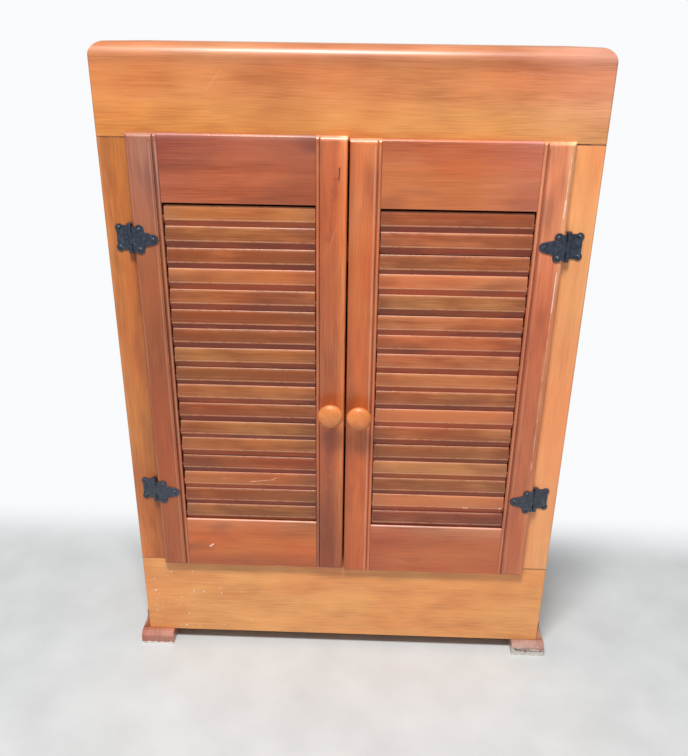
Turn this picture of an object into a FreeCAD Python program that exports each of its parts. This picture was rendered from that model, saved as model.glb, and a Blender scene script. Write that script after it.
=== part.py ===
import FreeCAD, Part
import math
import os

from FreeCAD import Vector

# Two-door cabinet with fixed louvres, in millimetres. It stands on z = 0, +Z is up and the doors
# face -Y. The origin is on the floor under the middle of the whole cabinet, knobs included.

# Carcass
cabinet_width = 610.0
cabinet_height = 875.0
cabinet_depth = 203.0  # face frame to rear cover, without doors and feet
board = 19.0  # planed thickness of every solid board
fascia_height = 106.0
base_rail_height = 135.0
face_stile_width = 41.5
corner_radius = 17.0  # rounded ends of the top, seen from the front
waterfall_radius = 17.0  # rounded front edge of the top
edge_ease = 1.5  # sanded arris
housing_depth = 6.0  # grooves in the side panels that hold the boards
shelf_count = 2
rear_cover_thickness = 5.0
rear_rabbet = 9.5

# Feet and the cove mouldings above them
foot_height = 20.0
foot_width = 50.0
foot_front_reach = 12.5
foot_side_reach = 10.5
foot_bevel = 5.5  # along the upper front arris
cove_toe_setback = 1.0  # from the outer side of the foot
cove_height = 34.0
cove_lip = 1.5  # thickness left at both edges of the moulding
cove_setback = 1.0

# Lipped doors
door_lap = 5.0  # how far the lip covers the face frame
lip_gap = 0.3
lip_thickness = 9.5
lip_width = 9.5
lip_round = 6.0
meeting_gap = 2.4
meeting_round = 2.5
door_rise = {"left": 1.0, "right": -1.5}  # each door's hanging height against the middle of the opening
door_stile_width = 38.5  # bead included
door_rail_width = 82.0
rail_recess = 1.7
sill_round = 2.5  # upper front arris of the bottom rail
bead_width = 4.5
bead_rise = 1.3
quirk_width = 1.5
quirk_depth = 3.0
tenon_length = 12.0
tenon_thickness = 7.0
tenon_shoulder = 8.0

# Louvre slats. Each shows an upright face; below its crisp lower arris an undercut leans inwards.
slat_count = 17
slat_face_height = 19.5
slat_face_setback = 2.7  # behind the face of the door
slat_sill_gap = 5.0  # lower arris of the lowest face above the bottom rail
slat_tilt = 20.0  # degrees from upright of the undercut and of the inner side
slat_undercut = 9.0  # width of the undercut
slat_thickness = 8.2  # across the undercut
slat_crown_height = 7.0  # part of the face that curves back towards the top
slat_crown_depth = 1.0
slat_end_gap = 1.2  # between a slat and the stile
slat_stub_length = 4.0  # in the stile
slat_stub_width = 9.0
slat_stub_thickness = 4.0

# Turned knobs
knob_diameter = 34.0
knob_projection = 27.0
knob_foot_diameter = 15.0
knob_foot_thickness = 2.0
knob_neck_diameter = 12.0
knob_neck = 8.0  # height of the narrowest circle above the door
knob_rim = 18.5  # height of the widest circle above the door
knob_crown_flat = 2.0
knob_bands = 3  # turned steps on each curve
knob_sides = 24  # narrow flats that stand for the round, within 0.15 mm of it
knob_height = 415.0
knob_inset = 18.0  # from the meeting edge of the door
knob_screw_diameter = 4.0
knob_screw_grip = 13.0
knob_screw_fit = 0.05
knob_screw_end_gap = 1.0
knob_screw_head_diameter = 8.5
knob_screw_head_height = 2.2

# Surface hinges with a cranked leaf over the lip
hinge_heights = {"upper": 647.0, "lower": 279.0}
hinge_offset = 5.0  # from the edge of the door out to the pin
leaf_thickness = 1.3
knuckle_radius = 3.4
barrel_height = 38.0
door_knuckle_height = 14.0
knuckle_gap = 0.3
turning_clearance = 0.5
pin_radius = 1.5
pin_fit = 0.05
pin_end = 0.3  # how far the pin shows above and below the barrel
frame_leaf_reach = 19.5
frame_leaf_height = 35.0
frame_lobe_radius = 5.0
frame_waist_bite = 1.6  # depth of the waist between the lobes
frame_leaf_dip = 1.8  # straight upper and lower edges below the tops of the lobes
door_leaf_reach = 37.0
door_leaf_height = 36.6
door_lobe_radius = 5.8
door_lobe_reach = 13.5
door_leaf_plate_height = 31.6  # straight edge beside the barrel
tongue_shoulder_reach = 17.7
tongue_width = 19.0
tongue_end_width = 13.0
tongue_point = 6.5
tip_lobe_radius = 6.3
tip_screw_inset = 6.5
crank_run = 1.7
crank_lead = 0.9  # how far the outer face bends before the inner one

# Heads of the hinge screws
screw_head_radius = 2.7
screw_flat_radius = 1.3
screw_head_height = 1.5
screw_sides = 10  # narrow flats that stand for the round, here and on the knob screws

# Magnetic catch behind the fascia, and the steel plate it holds on each door
catch_width = 46.0
catch_height = 15.0
catch_depth = 22.0
catch_flange_height = 20.0
catch_flange_thickness = 2.5
catch_top_gap = 1.0
pole_width = 12.0
pole_thickness = 1.6
pole_spacing = 6.0
pole_margin = 3.0
plate_width = 17.0
plate_height = 12.0
plate_thickness = 1.0
plate_edge_distance = 4.0
catch_gap = 0.3

# Geometry
same_place = 1e-4
quarter_middle = 1 - math.sqrt(0.5)  # how far along each leg of a quarter circle its middle lies

# Planes worked out from the sizes above
half_width = cabinet_width / 2
door_proud = lip_gap + lip_thickness
front = (door_proud + knob_projection - cabinet_depth) / 2  # face of the face frame
back = front + cabinet_depth
frame_back = front + board
door_face = front - door_proud
door_back = door_face + board
cover_front = back - rear_cover_thickness
opening_bottom = foot_height + base_rail_height
opening_top = cabinet_height - fascia_height
opening_half = half_width - face_stile_width
top_underside = cabinet_height - board
inner_half = half_width - board
door_height = opening_top - opening_bottom + 2 * door_lap
door_width = opening_half + door_lap - meeting_gap / 2
louvre_bottom = door_rail_width
louvre_top = door_height - door_rail_width
louvre_width = door_width - 2 * door_stile_width
axis_x = opening_half + door_lap + hinge_offset
axis_y = front - knuckle_radius


def box(x0, x1, y0, y1, z0, z1):
    return Part.makeBox(x1 - x0, y1 - y0, z1 - z0, Vector(x0, y0, z0))


def polygon(points):
    return Part.makePolygon(points + points[:1])


def extrude(edges, direction):
    wire = edges if isinstance(edges, Part.Wire) else Part.Wire(edges)
    return Part.Face(wire).extrude(direction)


def line(a, b):
    return Part.LineSegment(a, b).toShape()


def arc(a, through, b):
    return Part.Arc(a, through, b).toShape()


def cylinder(radius, length, base, direction):
    return Part.makeCylinder(radius, length, base, direction)


def turned(outline, sides, centre):
    """Turned shape that stands on centre and rises towards -Y, in narrow flats.

    outline lists (radius, height) from the foot to the crown.
    """
    angles = [2 * math.pi * n / sides for n in range(sides)]
    rings = []
    for radius, height in outline:
        rings.append([centre + Vector(radius * math.cos(a), -height, radius * math.sin(a)) for a in angles])
    faces = [Part.Face(polygon(rings[0])), Part.Face(polygon(rings[-1]))]
    for low, high in zip(rings, rings[1:]):
        for n in range(sides):
            faces.append(Part.Face(polygon([low[n - 1], low[n], high[n], high[n - 1]])))
    solid = Part.Solid(Part.Shell(faces))
    solid.fixTolerance(same_place)
    return solid


def union(first, others):
    return first.fuse(others).removeSplitter()


def moved(shape, offset):
    copy = shape.copy()
    copy.translate(offset)
    return copy


def mirrored(shape):
    return shape.mirror(Vector(0, 0, 0), Vector(1, 0, 0))


def on_side(shape, side):
    """A shape made for the left-hand side, or its mirror image for the right."""
    return shape if side == "left" else mirrored(shape)


def edges_through(shape, inside):
    """The edges whose two ends both satisfy the test."""
    return [e for e in shape.Edges if all(inside(v.Point) for v in e.Vertexes)]


def near(a, b):
    return abs(a - b) < same_place


# ---------------------------------------------------------------- carcass


def board_levels():
    """Underside heights of the floor board and the shelves, which share the inside evenly."""
    clear = (top_underside - opening_bottom - shelf_count * board) / (shelf_count + 1)
    return [opening_bottom - board] + [
        opening_bottom + clear + n * (clear + board) for n in range(shelf_count)
    ]


def housed_board(level):
    reach = inner_half + housing_depth
    return box(-reach, reach, frame_back, cover_front, level, level + board)


def rounded_outline(depth_from, depth_to):
    """The upright outline of the cabinet top with its two round corners, as thick as asked."""
    r = corner_radius
    side_in = r * quarter_middle
    low, high = foot_height, cabinet_height
    shoulder = high - r
    y = depth_from
    left, right = -half_width, half_width
    edges = [
        line(Vector(left, y, low), Vector(left, y, shoulder)),
        arc(Vector(left, y, shoulder), Vector(left + side_in, y, high - side_in), Vector(left + r, y, high)),
        line(Vector(left + r, y, high), Vector(right - r, y, high)),
        arc(Vector(right - r, y, high), Vector(right - side_in, y, high - side_in), Vector(right, y, shoulder)),
        line(Vector(right, y, shoulder), Vector(right, y, low)),
        line(Vector(right, y, low), Vector(left, y, low)),
    ]
    return extrude(edges, Vector(0, depth_to - depth_from, 0))


def top_fascia():
    """Wide top rail of the face frame: a round front edge cut to the rounded outline."""
    r = waterfall_radius
    y_in = r * quarter_middle
    x = -half_width
    section = [
        line(Vector(x, front, opening_top), Vector(x, front, cabinet_height - r)),
        arc(
            Vector(x, front, cabinet_height - r),
            Vector(x, front + y_in, cabinet_height - y_in),
            Vector(x, front + r, cabinet_height),
        ),
        line(Vector(x, front + r, cabinet_height), Vector(x, frame_back, cabinet_height)),
        line(Vector(x, frame_back, cabinet_height), Vector(x, frame_back, opening_top)),
        line(Vector(x, frame_back, opening_top), Vector(x, front, opening_top)),
    ]
    bar = extrude(section, Vector(cabinet_width, 0, 0))
    fascia = bar.common(rounded_outline(front, frame_back))
    return eased(fascia)


def eased(piece):
    """Takes off the upright outer arrises of a face frame piece."""
    plan = [
        Vector(-half_width, front + edge_ease, 0),
        Vector(edge_ease - half_width, front, 0),
        Vector(half_width - edge_ease, front, 0),
        Vector(half_width, front + edge_ease, 0),
        Vector(half_width, frame_back, 0),
        Vector(-half_width, frame_back, 0),
    ]
    return piece.common(extrude(polygon(plan), Vector(0, 0, cabinet_height)))


def base_rail():
    return eased(box(-half_width, half_width, front, frame_back, foot_height, opening_bottom))


def face_stile():
    stile = box(-half_width, -opening_half, front, frame_back, opening_bottom, opening_top)
    return eased(stile)


def top_board():
    """Lies on the side panels; its ends follow the rounded outline and its back takes the cover."""
    slab = box(-half_width, half_width, frame_back, back, top_underside, cabinet_height)
    rabbet = box(-rear_cover_half(), rear_cover_half(), cover_front, back, top_underside, rear_cover_top())
    return slab.common(rounded_outline(frame_back, back)).cut(rabbet)


def rear_cover_half():
    return half_width - board + rear_rabbet


def rear_cover_top():
    return top_underside + rear_rabbet


def rear_cover():
    half = rear_cover_half()
    return box(-half, half, cover_front, back, foot_height, rear_cover_top())


def side_panel():
    panel = box(-half_width, -inner_half, frame_back, back, foot_height, top_underside)
    return panel.cut([rear_cover()] + [housed_board(level) for level in board_levels()])


def foot():
    """Sled foot: a plain runner that shows in front of the cabinet and beside it."""
    outer = -half_width - foot_side_reach
    toe = front - foot_front_reach
    side = [
        Vector(outer, toe, 0),
        Vector(outer, toe, foot_height - foot_bevel),
        Vector(outer, toe + foot_bevel, foot_height),
        Vector(outer, back, foot_height),
        Vector(outer, back, 0),
    ]
    return extrude(polygon(side), Vector(foot_width, 0, 0))


def cove_moulding():
    """Hollow moulding between the foot and the side panel."""
    toe = half_width + foot_side_reach - cove_toe_setback
    x0, x1 = -half_width, -toe
    low, high = foot_height, foot_height + cove_height
    y = front + cove_setback
    hollow = Vector(
        x0 - cove_lip - (toe - half_width - cove_lip) * quarter_middle,
        y,
        low + cove_lip + (cove_height - cove_lip) * quarter_middle,
    )
    edges = [
        line(Vector(x0, y, low), Vector(x0, y, high)),
        line(Vector(x0, y, high), Vector(x0 - cove_lip, y, high)),
        arc(Vector(x0 - cove_lip, y, high), hollow, Vector(x1, y, low + cove_lip)),
        line(Vector(x1, y, low + cove_lip), Vector(x1, y, low)),
        line(Vector(x1, y, low), Vector(x0, y, low)),
    ]
    return extrude(edges, Vector(0, back - y, 0))


# ------------------------------------------------------------------ doors
# A door is made lying in its own frame: x from its hinge edge, y from its face inwards, z from its
# lower edge. in_place() hangs it in the cabinet.


def in_place(shape, side):
    middle = (opening_bottom + opening_top) / 2
    foot_of_door = middle - door_height / 2 + door_rise[side]
    hung = moved(shape, Vector(-opening_half - door_lap, door_face, foot_of_door))
    return on_side(hung, side)


def rounded_section(point, length, start_round, end_round, start_lip, end_lip):
    """Section of the door across one direction: rounded face edges and rabbets behind the lips.

    point(along, depth) places a corner of the section, so one outline serves both directions.
    """

    def corner(along, turn, radius):
        middle = radius * quarter_middle
        on_curve = point(along + turn * middle, middle)
        return arc(point(along, radius), on_curve, point(along + turn * radius, 0))

    lip = lip_thickness
    trace = [point(length, end_round)]
    if end_lip:
        trace += [point(length, lip), point(length - end_lip, lip), point(length - end_lip, board)]
    else:
        trace += [point(length, board)]
    trace += [point(start_lip, board), point(start_lip, lip), point(0, lip), point(0, start_round)]
    edges = [line(a, b) for a, b in zip(trace, trace[1:])]
    edges.append(corner(0, 1, start_round))
    edges.append(line(point(start_round, 0), point(length - end_round, 0)))
    edges.append(corner(length, -1, end_round))
    return Part.Wire(edges)


def door_blank():
    """The whole door as one board, moulded across and along like a routed edge, with mitred corners."""
    across = rounded_section(
        lambda along, depth: Vector(along, depth, 0), door_width, lip_round, meeting_round, lip_width, 0
    )
    upright = rounded_section(
        lambda along, depth: Vector(0, depth, along), door_height, lip_round, lip_round, lip_width, lip_width
    )
    tall = extrude(across, Vector(0, 0, door_height))
    return tall.common(extrude(upright, Vector(door_width, 0, 0)))


def stile_bar():
    """Stile moulding: flat face, quirk and a low bead along the inner edge."""
    bead_start = door_stile_width - bead_width
    quirk_start = bead_start - quirk_width
    bead_foot = rail_recess
    bead_top = rail_recess - bead_rise
    points = [
        Vector(0, 0, 0),
        Vector(quirk_start, 0, 0),
        Vector(quirk_start, quirk_depth, 0),
        Vector(bead_start, quirk_depth, 0),
        Vector(bead_start, bead_foot, 0),
    ]
    bead_end = Vector(door_stile_width, bead_foot, 0)
    edges = [line(a, b) for a, b in zip(points, points[1:])]
    edges.append(arc(points[-1], Vector(bead_start + bead_width / 2, bead_top, 0), bead_end))
    edges.append(line(bead_end, Vector(door_stile_width, board, 0)))
    edges.append(line(Vector(door_stile_width, board, 0), Vector(0, board, 0)))
    edges.append(line(Vector(0, board, 0), points[0]))
    return extrude(edges, Vector(0, 0, door_height))


def slat_bar(x, length):
    """Length of slat moulding, placed as the lowest slat."""
    tilt = math.radians(slat_tilt)
    arris_z = louvre_bottom + slat_sill_gap

    def at(depth, height):
        return Vector(x, slat_face_setback + depth, arris_z + height)

    inner_at_top = slat_thickness / math.cos(tilt) - slat_face_height * math.tan(tilt)
    crown_start = slat_face_height - slat_crown_height
    undercut_y, undercut_z = slat_undercut * math.sin(tilt), -slat_undercut * math.cos(tilt)
    inner_y = undercut_y + slat_thickness * math.cos(tilt)
    inner_z = undercut_z + slat_thickness * math.sin(tilt)
    crown = arc(
        at(0, crown_start),
        at(slat_crown_depth / 4, slat_face_height - slat_crown_height / 2),
        at(slat_crown_depth, slat_face_height),
    )
    trace = [
        at(slat_crown_depth, slat_face_height),
        at(inner_at_top, slat_face_height),
        at(inner_y, inner_z),
        at(undercut_y, undercut_z),
        at(0, 0),
        at(0, crown_start),
    ]
    edges = [crown] + [line(a, b) for a, b in zip(trace, trace[1:])]
    return extrude(edges, Vector(length, 0, 0))


def slat_stubs():
    """Tenons of the lowest slat, level with the lower arris of its face."""
    tilt = math.radians(slat_tilt)
    length = louvre_width + 2 * slat_stub_length
    stub = box(
        door_stile_width - slat_stub_length,
        door_stile_width - slat_stub_length + length,
        -slat_stub_thickness / 2,
        slat_stub_thickness / 2,
        -slat_stub_width / 2,
        slat_stub_width / 2,
    )
    stub.rotate(Vector(0, 0, 0), Vector(1, 0, 0), slat_tilt)
    middle_y = slat_face_setback + slat_thickness / 2 * math.cos(tilt)
    middle_z = louvre_bottom + slat_sill_gap + slat_thickness / 2 * math.sin(tilt)
    return moved(stub, Vector(0, middle_y, middle_z))


def row_of(pattern):
    """One copy for each slat, evenly spaced between the rails."""
    pitch = (louvre_top - louvre_bottom) / slat_count
    return [moved(pattern, Vector(0, 0, n * pitch)) for n in range(slat_count)]


def slats():
    bar = slat_bar(door_stile_width + slat_end_gap, louvre_width - 2 * slat_end_gap)
    return row_of(union(bar, [slat_stubs()]))


def mortises():
    """Everything that is let into the inner edge of a stile."""
    return row_of(slat_stubs()) + tenons(0) + tenons(louvre_top)


def tenons(bottom):
    """The two tenons of a rail, which the mortises in the stiles are cut to."""
    y = (rail_recess + board - tenon_thickness) / 2
    low, high = bottom + tenon_shoulder, bottom + door_rail_width - tenon_shoulder
    starts = [door_stile_width - tenon_length, door_width - door_stile_width]
    return [box(x, x + tenon_length, y, y + tenon_thickness, low, high) for x in starts]


def knob_centre():
    """Where the knob stands on the face of the left-hand door."""
    middle = (opening_bottom + opening_top) / 2
    return Vector(door_width - knob_inset, 0, knob_height - middle + door_height / 2)


def meeting_stile():
    bar = moved(stile_bar().mirror(Vector(0, 0, 0), Vector(1, 0, 0)), Vector(door_width, 0, 0))
    bolt_hole = cylinder(knob_screw_diameter / 2 + knob_screw_fit, board, knob_centre(), Vector(0, 1, 0))
    return bar.common(door_blank()).cut(mortises() + [bolt_hole])


def hinge_stile():
    return stile_bar().common(door_blank()).cut(mortises())


def rail(bottom):
    bar = box(
        door_stile_width, door_width - door_stile_width, rail_recess, board, bottom, bottom + door_rail_width
    )
    return union(bar, tenons(bottom)).common(door_blank())


def bottom_rail():
    """Its round sill hides a groove for the lower edge of the lowest slat."""
    plain = rail(0)
    sill = [
        e
        for e in edges_through(plain, lambda p: near(p.y, rail_recess) and near(p.z, louvre_bottom))
        if near(e.Length, louvre_width)
    ]
    return plain.makeFillet(sill_round, sill).cut(slat_bar(door_stile_width, louvre_width))


def quarter_steps(start, end, centre_from_start):
    """Steps along a quarter ellipse between two (radius, height) points of the knob's outline."""
    steps = []
    for n in range(1, knob_bands + 1):
        turn = math.pi / 2 * n / knob_bands
        fast, slow = math.sin(turn), 1 - math.cos(turn)
        share_r, share_h = (fast, slow) if centre_from_start else (slow, fast)
        steps.append((start[0] + (end[0] - start[0]) * share_r, start[1] + (end[1] - start[1]) * share_h))
    return steps


def knob():
    """Turned mushroom knob: foot, waisted neck and a domed cap."""
    foot_r, neck_r, cap_r = knob_foot_diameter / 2, knob_neck_diameter / 2, knob_diameter / 2
    foot_edge = (foot_r, knob_foot_thickness)
    neck = (neck_r, knob_neck)
    rim = (cap_r, knob_rim)
    crown = (knob_crown_flat / 2, knob_projection)
    outline = [(foot_r, 0), foot_edge]
    outline += quarter_steps(foot_edge, neck, True)
    outline += quarter_steps(neck, rim, False)
    outline += quarter_steps(rim, crown, False)
    hole_radius = knob_screw_diameter / 2 + knob_screw_fit
    blind_hole = cylinder(hole_radius, knob_screw_grip, knob_centre(), Vector(0, -1, 0))
    return turned(outline, knob_sides, knob_centre()).cut(blind_hole)


def knob_screw():
    """Machine screw from behind the door into the knob."""
    head_r, shank_r = knob_screw_head_diameter / 2, knob_screw_diameter / 2
    length = board + knob_screw_grip - knob_screw_end_gap
    outline = [(head_r, -knob_screw_head_height), (head_r, 0), (shank_r, 0), (shank_r, length)]
    return turned(outline, screw_sides, knob_centre() + Vector(0, board, 0))


def plate_corner():
    """Lower hinge-side corner of the catch plate on the back of the meeting stile."""
    x = door_width - plate_edge_distance - plate_width
    z = door_height - lip_width - plate_height - plate_thickness
    return Vector(x, board, z)


def catch_plate():
    c = plate_corner()
    return box(c.x, c.x + plate_width, board, board + plate_thickness, c.z, c.z + plate_height)


# ----------------------------------------------------------------- hinges
# A left-hand hinge is made about its pin: x towards the door, y inwards and z = 0 at mid-height.
# The frame leaf lies against the face frame at y = knuckle_radius.


def at_hinge(shape, side, level):
    return on_side(moved(shape, Vector(-axis_x, axis_y, hinge_heights[level])), side)


def through_leaf(points):
    """A prism through every leaf, from an outline in the x-z plane."""
    depth = 2 * door_proud
    wire = polygon([Vector(x, -depth, z) for x, z in points])
    return extrude(wire, Vector(0, 2 * depth, 0))


def disc(x, z, radius):
    depth = 2 * door_proud
    return cylinder(radius, 2 * depth, Vector(x, -depth, z), Vector(0, 1, 0))


def knuckle(z0, z1):
    return cylinder(knuckle_radius, z1 - z0, Vector(0, 0, z0), Vector(0, 0, 1))


def pin_hole():
    return cylinder(pin_radius + pin_fit, 2 * barrel_height, Vector(0, 0, -barrel_height), Vector(0, 0, 1))


def frame_lobes():
    x = frame_lobe_radius - frame_leaf_reach
    z = frame_leaf_height / 2 - frame_lobe_radius
    return [(x, z), (x, -z)]


def door_lobes():
    z = door_leaf_height / 2 - door_lobe_radius
    return [(door_lobe_reach, z), (door_lobe_reach, -z)]


def screw_head(x, z, leaf_face):
    """Head of a wood screw on a leaf; the shank is out of sight in the wood."""
    outline = [(screw_head_radius, 0), (screw_flat_radius, screw_head_height)]
    return turned(outline, screw_sides, Vector(x, leaf_face, z))


def frame_leaf_screws():
    leaf_face = knuckle_radius - leaf_thickness
    return [screw_head(x, z, leaf_face) for x, z in frame_lobes()]


def door_leaf_screws():
    leaf_face = knuckle_radius - door_proud - leaf_thickness
    spots = door_lobes() + [(door_leaf_reach - tip_screw_inset, 0)]
    return [screw_head(x, z, leaf_face) for x, z in spots]


def frame_leaf():
    """Butterfly leaf on the face frame with the two outer knuckles."""
    lobes = frame_lobes()
    lobe_x, lobe_z = lobes[0]
    face = knuckle_radius - leaf_thickness
    half_height = frame_leaf_height / 2 - frame_leaf_dip
    plate = box(lobe_x, 0, face, knuckle_radius, -half_height, half_height)
    waist = box(frame_waist_bite - frame_leaf_reach, lobe_x, face, knuckle_radius, -lobe_z, lobe_z)
    ears = [disc(x, z, frame_lobe_radius).common(leaf_layer()) for x, z in lobes]
    half_knuckle = door_knuckle_height / 2 + knuckle_gap
    outer = barrel_height / 2
    knuckles = [knuckle(half_knuckle, outer), knuckle(-outer, -half_knuckle)]
    slot_edge = knuckle_radius + turning_clearance
    slot = box(-slot_edge, slot_edge, -slot_edge, slot_edge, -half_knuckle, half_knuckle)
    return union(plate, [waist] + ears + knuckles).cut([slot, pin_hole()])


def leaf_layer():
    """The thickness of metal that lies on the face frame."""
    reach = 2 * frame_leaf_reach
    return box(-reach, reach, knuckle_radius - leaf_thickness, knuckle_radius, -reach, reach)


def cranked_strip():
    """Sheet that leaves the barrel, steps over the lip and lies on the face of the door."""
    inner_at_pin = leaf_thickness - knuckle_radius
    inner_on_door = knuckle_radius - door_proud
    start = knuckle_radius + turning_clearance
    reach = 2 * door_leaf_reach
    half = door_leaf_height
    points = [
        Vector(0, inner_at_pin, -half),
        Vector(start, inner_at_pin, -half),
        Vector(start + crank_run, inner_on_door, -half),
        Vector(reach, inner_on_door, -half),
        Vector(reach, inner_on_door - leaf_thickness, -half),
        Vector(start + crank_run - crank_lead, inner_on_door - leaf_thickness, -half),
        Vector(start - crank_lead, inner_at_pin - leaf_thickness, -half),
        Vector(0, inner_at_pin - leaf_thickness, -half),
    ]
    return extrude(polygon(points), Vector(0, 0, 2 * half))


def door_leaf_outline():
    """Outline of the door leaf: two lobes, a tongue with a pointed end, and the middle knuckle's neck."""
    start = knuckle_radius + turning_clearance - crank_lead
    half_neck = door_knuckle_height / 2
    lobes = door_lobes()
    lobe_x = door_lobe_reach
    shoulder = tongue_shoulder_reach
    tongue_end = door_leaf_reach - tongue_point
    half_tongue, half_end = tongue_width / 2, tongue_end_width / 2
    plate_half = door_leaf_plate_height / 2
    plate = [(start, plate_half), (lobe_x, plate_half), (lobe_x, -plate_half), (start, -plate_half)]
    tongue = [
        (lobe_x, half_tongue),
        (shoulder, half_tongue),
        (tongue_end, half_end),
        (door_leaf_reach, 0),
        (tongue_end, -half_end),
        (shoulder, -half_tongue),
        (lobe_x, -half_tongue),
    ]
    neck = [(0, half_neck), (lobe_x, half_neck), (lobe_x, -half_neck), (0, -half_neck)]
    ears = [disc(x, z, door_lobe_radius) for x, z in lobes]
    ears.append(disc(tongue_end, 0, tip_lobe_radius))
    return union(through_leaf(plate), ears + [through_leaf(tongue), through_leaf(neck)])


def door_leaf():
    """Cranked leaf on the door with the middle knuckle."""
    half_neck = door_knuckle_height / 2
    sheet = cranked_strip().common(door_leaf_outline())
    return union(sheet, [knuckle(-half_neck, half_neck)]).cut(pin_hole())


def hinge_pin():
    half = barrel_height / 2 + pin_end
    return cylinder(pin_radius, 2 * half, Vector(0, 0, -half), Vector(0, 0, 1))


# ------------------------------------------------------------------ catch


def catch_face():
    return door_back + plate_thickness + catch_gap


def pole_plates():
    """Two steel poles for each door, let into the catch body."""
    z0 = opening_top - catch_height + pole_margin
    z1 = opening_top - pole_margin
    x_mid = plate_centre_x()
    poles = []
    for x in (-x_mid, x_mid):
        for dx in (-pole_spacing / 2, pole_spacing / 2):
            left = x + dx - pole_thickness / 2
            poles.append(box(left, left + pole_thickness, catch_face(), catch_face() + pole_width, z0, z1))
    return poles


def plate_centre_x():
    return meeting_gap / 2 + plate_edge_distance + plate_width / 2


def catch_body():
    """Moulded block below the fascia with a flange screwed to the back of it."""
    half = catch_width / 2
    low, high = opening_top - catch_height, opening_top - catch_top_gap
    block = box(-half, half, catch_face(), catch_face() + catch_depth, low, high)
    flange = box(
        -half,
        half,
        frame_back,
        frame_back + catch_flange_thickness,
        opening_top - catch_height / 2,
        opening_top + catch_flange_height,
    )
    return union(block, [flange]).cut(pole_plates())


# --------------------------------------------------------------- assembly


def carcass_parts():
    parts = {
        "top_fascia": top_fascia(),
        "base_rail": base_rail(),
        "top_board": top_board(),
        "rear_cover": rear_cover(),
    }
    names = ["cabinet_floor"] + [f"shelf_{n + 1}" for n in range(shelf_count)]
    for name, level in zip(names, board_levels()):
        parts[name] = housed_board(level)
    for side in ("left", "right"):
        parts[f"side_panel_{side}"] = on_side(side_panel(), side)
        parts[f"face_stile_{side}"] = on_side(face_stile(), side)
        parts[f"foot_{side}"] = on_side(foot(), side)
        parts[f"cove_moulding_{side}"] = on_side(cove_moulding(), side)
    return parts


def hinge_parts():
    """Upper and lower hinge of each door; the two copies of a piece share a node."""
    patterns = {
        "frame_leaves": [frame_leaf()],
        "hinge_pins": [hinge_pin()],
        "frame_leaf_screws": frame_leaf_screws(),
        "door_leaves": [door_leaf()],
        "door_leaf_screws": door_leaf_screws(),
    }
    parts = {}
    for side in ("left", "right"):
        for name, solids in patterns.items():
            copies = [at_hinge(solid, side, level) for level in hinge_heights for solid in solids]
            parts[f"{side}_{name}"] = Part.makeCompound(copies)
    return parts


def door_parts(side):
    pieces = {
        "hinge_stile": hinge_stile(),
        "meeting_stile": meeting_stile(),
        "top_rail": rail(louvre_top),
        "bottom_rail": bottom_rail(),
        "slats": Part.makeCompound(slats()),
        "knob": knob(),
        "knob_screw": knob_screw(),
        "catch_plate": catch_plate(),
    }
    return {f"{side}_door_{name}": in_place(shape, side) for name, shape in pieces.items()}


def catch_parts():
    return {
        "catch_body": catch_body(),
        "catch_poles": Part.makeCompound(pole_plates()),
    }


def main():
    os.makedirs("parts", exist_ok=True)
    parts = carcass_parts() | hinge_parts() | catch_parts()
    for side in ("left", "right"):
        parts |= door_parts(side)
    for name, shape in parts.items():
        shape.exportStep(f"parts/{name}.step")
    print(len(parts), "nodes")


main()
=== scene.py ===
import math
import random

import bmesh
import bpy
from mathutils import Matrix, Vector


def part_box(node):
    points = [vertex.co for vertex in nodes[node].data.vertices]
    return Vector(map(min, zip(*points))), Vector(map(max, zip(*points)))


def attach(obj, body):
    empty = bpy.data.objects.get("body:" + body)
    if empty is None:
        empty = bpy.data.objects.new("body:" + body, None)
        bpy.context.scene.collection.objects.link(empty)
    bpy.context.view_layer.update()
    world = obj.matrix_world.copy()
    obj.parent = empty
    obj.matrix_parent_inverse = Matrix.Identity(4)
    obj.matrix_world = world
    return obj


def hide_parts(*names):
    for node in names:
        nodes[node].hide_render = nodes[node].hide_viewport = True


mm = 0.001

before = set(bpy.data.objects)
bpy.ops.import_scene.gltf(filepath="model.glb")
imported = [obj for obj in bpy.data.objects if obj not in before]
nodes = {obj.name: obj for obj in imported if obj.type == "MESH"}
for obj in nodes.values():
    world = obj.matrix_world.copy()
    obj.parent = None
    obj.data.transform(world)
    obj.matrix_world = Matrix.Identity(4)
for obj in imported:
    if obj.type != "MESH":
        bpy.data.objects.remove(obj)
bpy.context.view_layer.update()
print("frame:", len(nodes), "nodes")


# Colours are written as sRGB hex and used as linear values.
def hexToLinear(code):
    channels = [int(code[i:i + 2], 16) / 255 for i in (1, 3, 5)]
    linear = [c / 12.92 if c <= 0.04045 else ((c + 0.055) / 1.055) ** 2.4 for c in channels]
    return (*linear, 1.0)


def tinted(code, factors):
    colour = hexToLinear(code)
    return (*(min(1.0, c * f) for c, f in zip(colour, factors)), 1.0)


# Adds a node; settings are socket values or node properties, links are incoming sockets.
def addNode(tree, kind, settings=None, links=None):
    node = tree.nodes.new(kind)
    for key, value in (settings or {}).items():
        if key == "stops":
            elements = node.color_ramp.elements
            elements[0].position, elements[0].color = value[0]
            elements[1].position, elements[1].color = value[-1]
            for place, colour in value[1:-1]:
                elements.new(place).color = colour
        elif isinstance(key, int) or key in node.inputs:
            node.inputs[key].default_value = value
        else:
            setattr(node, key, value)
    for key, socket in (links or {}).items():
        tree.links.new(socket, node.inputs[key])
    return node


def newMaterial(name):
    material = bpy.data.materials.new(name)
    material.use_nodes = True
    tree = material.node_tree
    tree.nodes.clear()
    return material, tree


def finishMaterial(tree, shader):
    addNode(tree, "ShaderNodeOutputMaterial", links={"Surface": shader.outputs[0]})


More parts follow.
